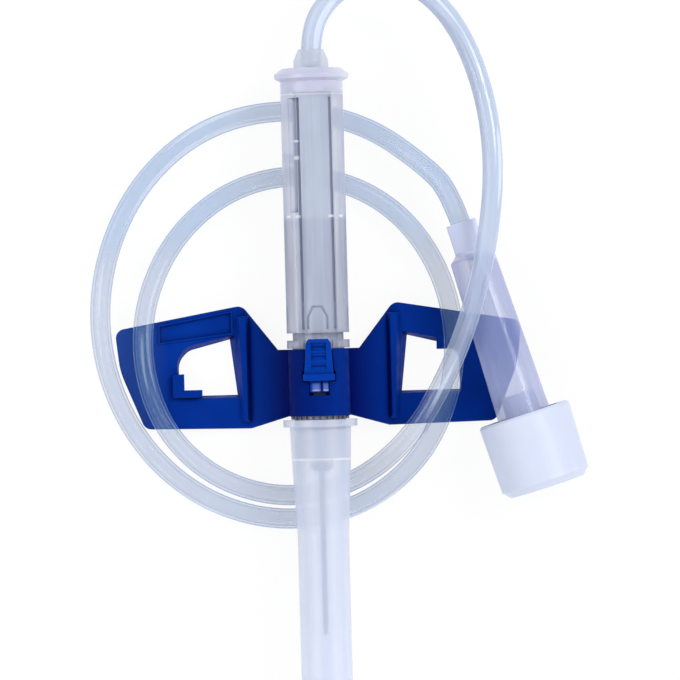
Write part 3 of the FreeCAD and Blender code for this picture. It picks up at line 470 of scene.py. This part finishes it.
def lavender_connector():
    middle, rim = paint(146, 159, 208), paint(172, 178, 216)
    amounts = {"seen": 0.41, "edge": 0.85, "roughness": 0.14, "start": 0.05}
    look = clear("lavender_connector", middle, rim, **amounts)
    y = look.along("Y")
    # its front is paler
    look.repaint(look.spread(y, *LUER_FRONT_Y, 0.55, 0), paint(186, 196, 232))
    # its bore shows only faintly, and the sleeve that holds the tubing is milkier
    tube_end, run_end = Vector(ROUTE[-2]), Vector(ROUTE[-1])
    off_middle = look.off_axis(run_end, (run_end - tube_end).normalized())
    bore = look.spread(off_middle, LUER_BORE_RADIUS, LUER_BORE_RADIUS + 0.3, 1, 0)
    sleeve = look.spread(y, SLEEVE_Y, SLEEVE_Y + 1, 0, 1)
    look.fainter(look.both(bore, look.maths("SUBTRACT", 1.0, sleeve)), 0.75)
    look.repaint(sleeve, paint(208, 215, 240))
    look.milkier(sleeve, 0.5)
    return look


def frosted_cap():
    look = moulded(
        "frosted_cap",
        paint(207, 215, 233),
        paint(202, 209, 229),
        paint(188, 196, 220),
        reach=2,
        roughness=0.45,
        Alpha=0.92,
    )
    # faint dull bands along its side, painted shade for its faint facets
    facet_shade = look.noise(1.6, 1, (1, 0.06, 1), LUER_TURN)
    look.repaint(look.spread(facet_shade, 0.48, 0.6, 0, 0.4), paint(198, 208, 230))
    return look


def clear_tube():
    middle, rim = paint(72, 104, 164), paint(188, 203, 230)
    amounts = {"seen": 0.115, "edge": 0.8, "roughness": 0.1, "start": 0.36, "ripple": 0.006}
    look = clear("clear_tube", middle, rim, **amounts)
    z = look.along("Z")
    # painted light: where it lies low, and behind the wings, it takes more of the floor's light
    low = look.spread(z, *TUBE_LOW_Z, 1, 0)
    lying = look.either(low, look.spread(look.along("Y"), *BEHIND_WINGS_Y, 0, 1))
    look.repaint(lying, paint(102, 156, 210))
    look.milkier(lying, 0.17)
    # the raised part of the tubing is paler and milkier than the part on the wings
    raised = look.spread(z, *TUBE_RAISED_Z, 0, 1)
    look.repaint(look.both(raised, 0.85), paint(194, 206, 228))
    look.milkier(raised, 0.3)
    # long streaks along its wall: pale painted highlights, and on the raised part dull painted
    # shade
    around = look.node("Attribute", attribute_name="around").outputs["Vector"]
    drawn_and_lit_streaks = look.noise_at(around, STREAK_SCALE, 1)
    highlight_streaks = look.spread(drawn_and_lit_streaks, 0.64, 0.69, 0, 1)
    look.repaint(look.both(highlight_streaks, 0.7), paint(226, 236, 252))
    look.milkier(highlight_streaks, 0.14)
    shade_streaks = look.spread(drawn_and_lit_streaks, 0.36, 0.42, 0.5, 0)
    look.repaint(look.both(shade_streaks, raised), paint(140, 152, 184))
    return look


def clear_lumen():
    middle, rim = paint(120, 146, 188), paint(214, 224, 242)
    amounts = {"seen": 0.08, "edge": 0.55, "roughness": 0.16, "start": 0.4, "ripple": 0.002}
    return clear("clear_tube_lumen", middle, rim, **amounts)


def white_floor():
    """Matt white that takes the object's shadow, and that the camera sees as nearly pure white."""
    look = Look("floor_white", 0.8, Base_Color=FLOOR_COLOUR)
    look.bump(look.noise(20), 0.01)
    glow = look.node("Emission", {"Color": (1, 1, 1, 1)})
    rays = look.node("LightPath").outputs
    straight = look.either(rays["Is Camera Ray"], rays["Is Transmission Ray"])
    share = look.both(look.either(straight, rays["Is Glossy Ray"]), FLOOR_GLOW)
    mix = look.node("MixShader", {0: share, 1: look.shader.outputs[0], 2: glow.outputs[0]})
    surface = look.tree.nodes["Material Output"].inputs["Surface"]
    look.tree.links.new(mix.outputs[0], surface)
    return look


FINISH = {
    "wing_body": blue_wings,
    "release_tab": blue_tab,
    "barrel": clear_barrel,
    "end_cap": lavender_cap,
    "needle_carrier": clear_carrier,
    "cannula": needle_steel,
    "needle_cover": clear_cover,
    "luer_connector": lavender_connector,
    "luer_cap": frosted_cap,
}
for name, make_look in FINISH.items():
    data = nodes[name].data
    data.materials.clear()
    data.materials.append(make_look().material)


# ---------------------------------------------------------------- the tubing


def spline_points(route, steps):
    """Points along one smooth spline whose control points are the route."""
    curve = bpy.data.curves.new("route", "CURVE")
    curve.dimensions = "3D"
    curve.resolution_u = steps
    spline = curve.splines.new("NURBS")
    spline.points.add(len(route) - 1)
    for point, place in zip(spline.points, route):
        point.co = (*(c * MM for c in place), 1.0)
    spline.order_u = 3
    spline.use_endpoint_u = True
    holder = bpy.data.objects.new("route", curve)
    bpy.context.scene.collection.objects.link(holder)
    mesh = bpy.data.meshes.new_from_object(holder)
    points = [vertex.co.copy() for vertex in mesh.vertices]
    bpy.data.objects.remove(holder)
    bpy.data.meshes.remove(mesh)
    return points


def runs_between(points):
    return [(after - before).length for before, after in zip(points, points[1:])]


def tube_places(points, angles, diameter):
    """A ring of places round each point, with no twist from ring to ring."""
    ahead = (points[1] - points[0]).normalized()
    side = ahead.orthogonal().normalized()
    places = []
    for i, point in enumerate(points):
        before, after = points[max(i - 1, 0)], points[min(i + 1, len(points) - 1)]
        new_ahead = (after - before).normalized()
        side.rotate(ahead.rotation_difference(new_ahead))
        ahead = new_ahead
        up = ahead.cross(side).normalized()
        for angle in angles:
            out = side * math.cos(angle) + up * math.sin(angle)
            places.append(point + out * diameter / 2)
    return places


def tube_faces(rings, sides):
    """The faces between neighbouring rings, and one across each end."""
    faces = []
    for i in range(rings - 1):
        here, there = i * sides, (i + 1) * sides
        for j in range(sides):
            k = (j + 1) % sides
            faces.append((here + j, here + k, there + k, there + j))
    last = (rings - 1) * sides
    faces.append(tuple(reversed(range(sides))))
    faces.append(tuple(last + j for j in range(sides)))
    return faces


def swept_tube(name, points, diameter, look):
    """A round tube along the points, closed at both ends."""
    angles = [2 * math.pi * i / TUBE_SIDES for i in range(TUBE_SIDES)]
    places = tube_places(points, angles, diameter)
    faces = tube_faces(len(points), TUBE_SIDES)
    mesh = bpy.data.meshes.new(name)
    mesh.from_pydata([tuple(p) for p in places], [], faces)
    mesh.polygons.foreach_set("use_smooth", [len(f) == 4 for f in faces])
    mesh.update()
    # where each place lies round the tube and along it, for the painted highlight and shade
    # streaks
    around = mesh.attributes.new("around", "FLOAT_VECTOR", "POINT")
    along = 0.0
    for i, run in enumerate([0.0] + runs_between(points)):
        along += run
        for j, angle in enumerate(angles):
            vector = (math.cos(angle), math.sin(angle), along / STREAK_LENGTH)
            around.data[i * TUBE_SIDES + j].vector = vector
    mesh.materials.append(look.material)
    piece = bpy.data.objects.new(name, mesh)
    bpy.context.scene.collection.objects.link(piece)
    return piece


centreline = spline_points(ROUTE, SPLINE_STEPS)
tube = swept_tube("tubing_wall", centreline, TUBE_DIAMETER, clear_tube())
inner = centreline[LUMEN_INSET:-LUMEN_INSET]
lumen = swept_tube("tubing_lumen", inner, LUMEN_DIAMETER, clear_lumen())

# the swept tubing stands in for the model's own tubing, which is hidden
for piece in (tube, lumen):
    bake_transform(piece)
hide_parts("tubing")
print(f"tubing's centreline: {sum(runs_between(centreline)) * 1000:.1f} mm")


# ---------------------------------------------------------------- floor, light, camera

bpy.ops.mesh.primitive_plane_add(size=FLOOR_SIZE, location=(0, 0, -FLOOR_DROP))
floor = bpy.context.object
floor.name = "floor"
floor.data.materials.append(white_floor().material)

# a pale room: brighter round the sides than straight above
world = bpy.data.worlds.new("studio")
world.use_nodes = True
room = world.node_tree
direction = add_node(room, "TexCoord").outputs["Generated"]
height = add_node(room, "SeparateXYZ", {"Vector": direction}).outputs["Z"]
sky = room.nodes["Background"]
sky.inputs["Color"].default_value = ROOM_COLOUR
strength = map_range(room, height, 0.2, 0.95, ROOM_SIDES, ROOM_TOP)
room.links.new(strength, sky.inputs["Strength"])
bpy.context.scene.world = world

# the lights are turned to the middle of the set
for name, place, size, watts in SOFTBOXES:
    data = bpy.data.lights.new(name, "AREA")
    data.shape = "SQUARE"
    data.size = size
    data.energy = watts
    light = bpy.data.objects.new(name, data)
    light.location = place
    aim = VIEW_CENTRE - Vector(place)
    light.rotation_euler = aim.to_track_quat("-Z", "Y").to_euler()
    bpy.context.scene.collection.objects.link(light)

camera_data = bpy.data.cameras.new("camera")
camera_data.sensor_width = SENSOR_WIDTH
camera_data.lens = CAMERA_DISTANCE * SENSOR_WIDTH / VIEW_WIDTH
camera_data.clip_start = 0.01
camera_data.clip_end = 10
camera = bpy.data.objects.new("camera", camera_data)
above = Matrix.Translation(VIEW_CENTRE + Vector((0, 0, CAMERA_DISTANCE)))
camera.matrix_world = above @ Matrix.Rotation(VIEW_ROLL, 4, "Z")
bpy.context.scene.collection.objects.link(camera)
bpy.context.scene.camera = camera

bpy.context.scene.view_settings.view_transform = "Standard"
